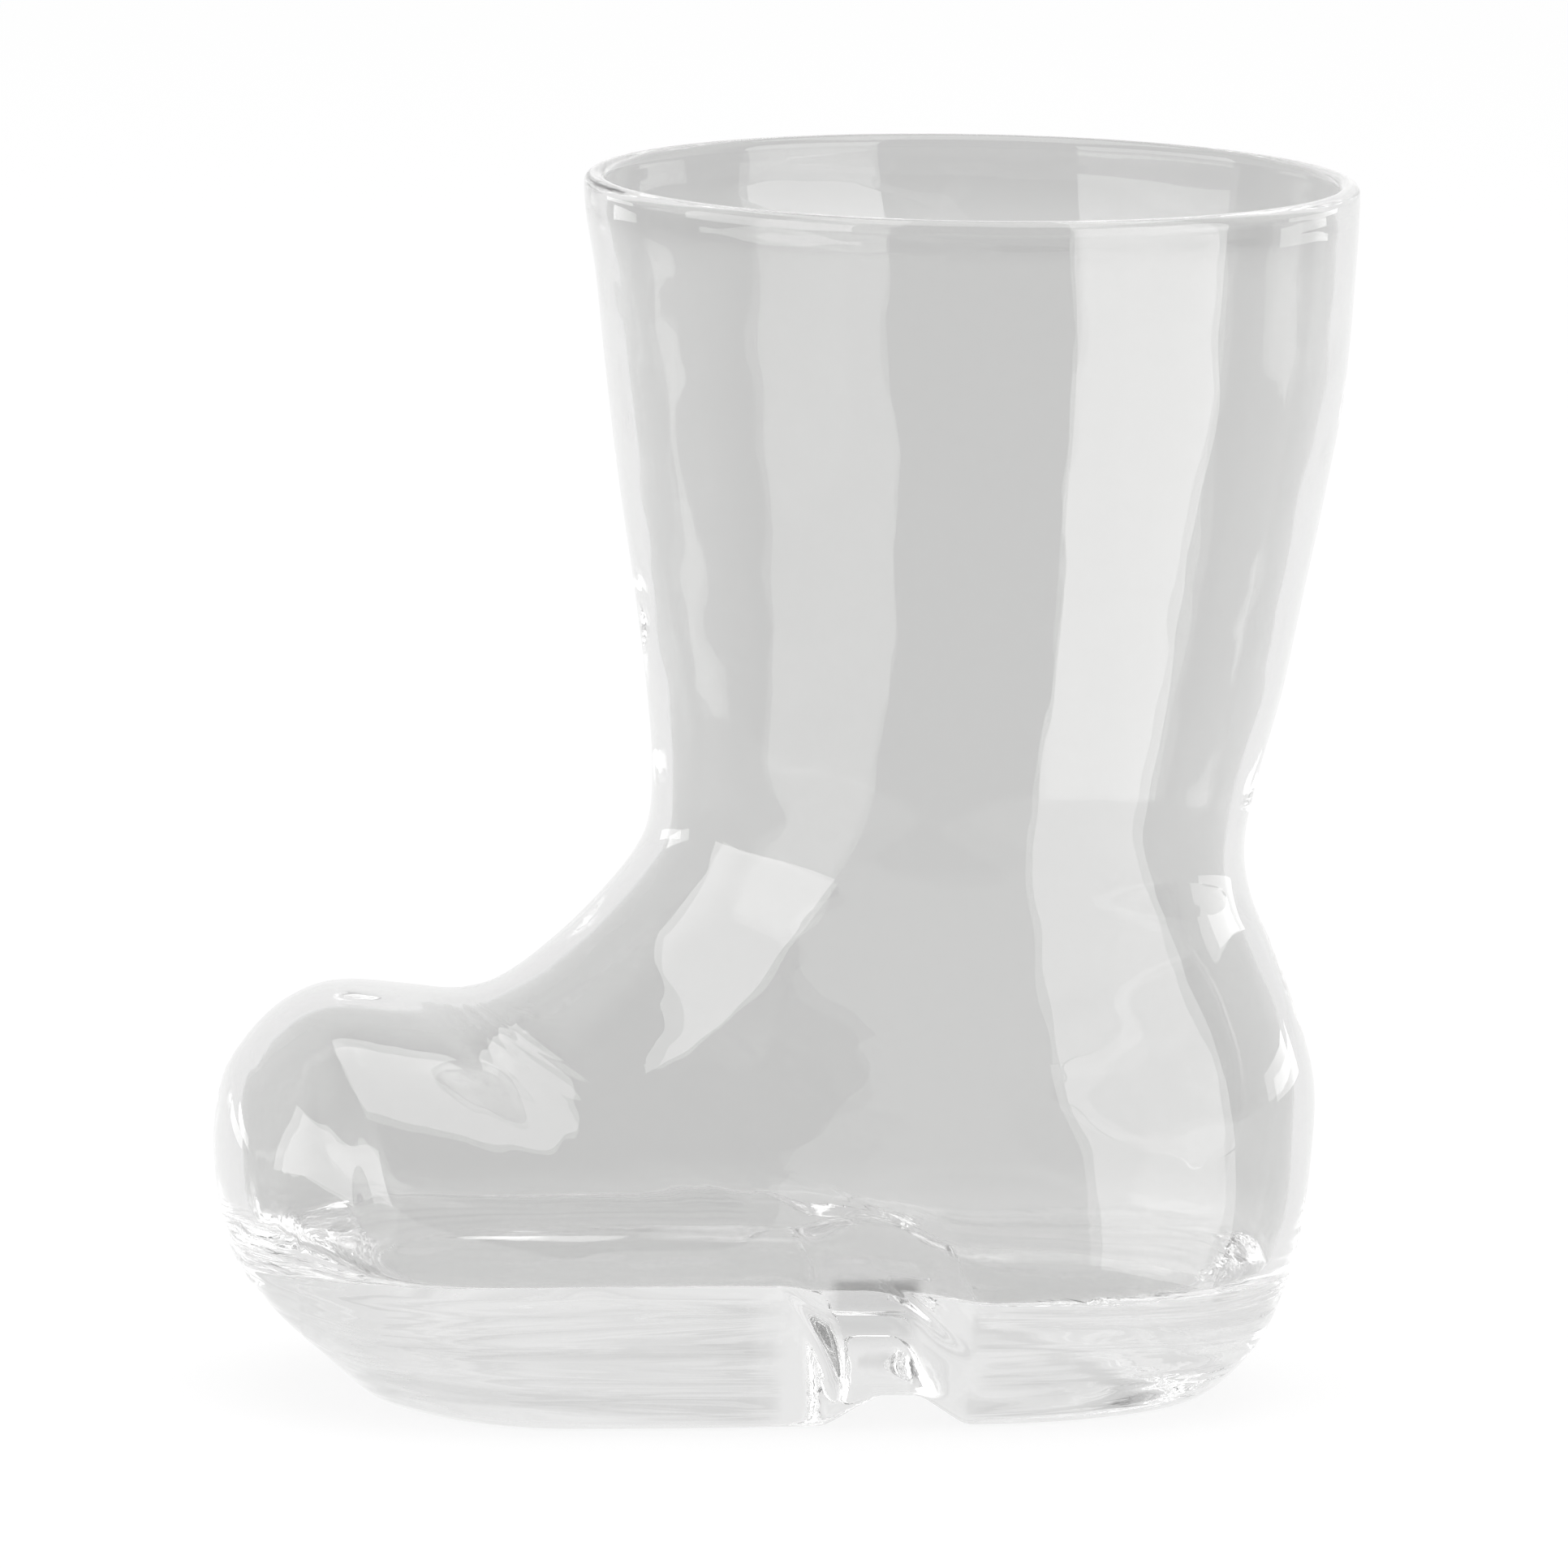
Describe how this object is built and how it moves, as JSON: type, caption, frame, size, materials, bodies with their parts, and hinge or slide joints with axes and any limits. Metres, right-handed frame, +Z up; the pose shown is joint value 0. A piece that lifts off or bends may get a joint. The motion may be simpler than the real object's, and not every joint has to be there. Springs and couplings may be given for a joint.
{
  "type": "boot-shaped drinking glass",
  "caption": "Clear glass drinking boot with a round rim, tapered shaft, bulbous toe cap, thick solid sole, and between sole and heel a shallow arch groove with a notch in each side.",
  "frame": {"origin": "on the ground plane, midway between the toe tip and the back of the rim, on the plane of symmetry", "axes": "+X from toe to heel, +Y across the foot, +Z up"},
  "size_m": [0.129, 0.088, 0.14],
  "materials": {
    "clear_glass": "clear, fire-polished"
  },
  "bodies": {
    "root": {"glass_boot": "clear_glass"}
  },
  "joints": []
}
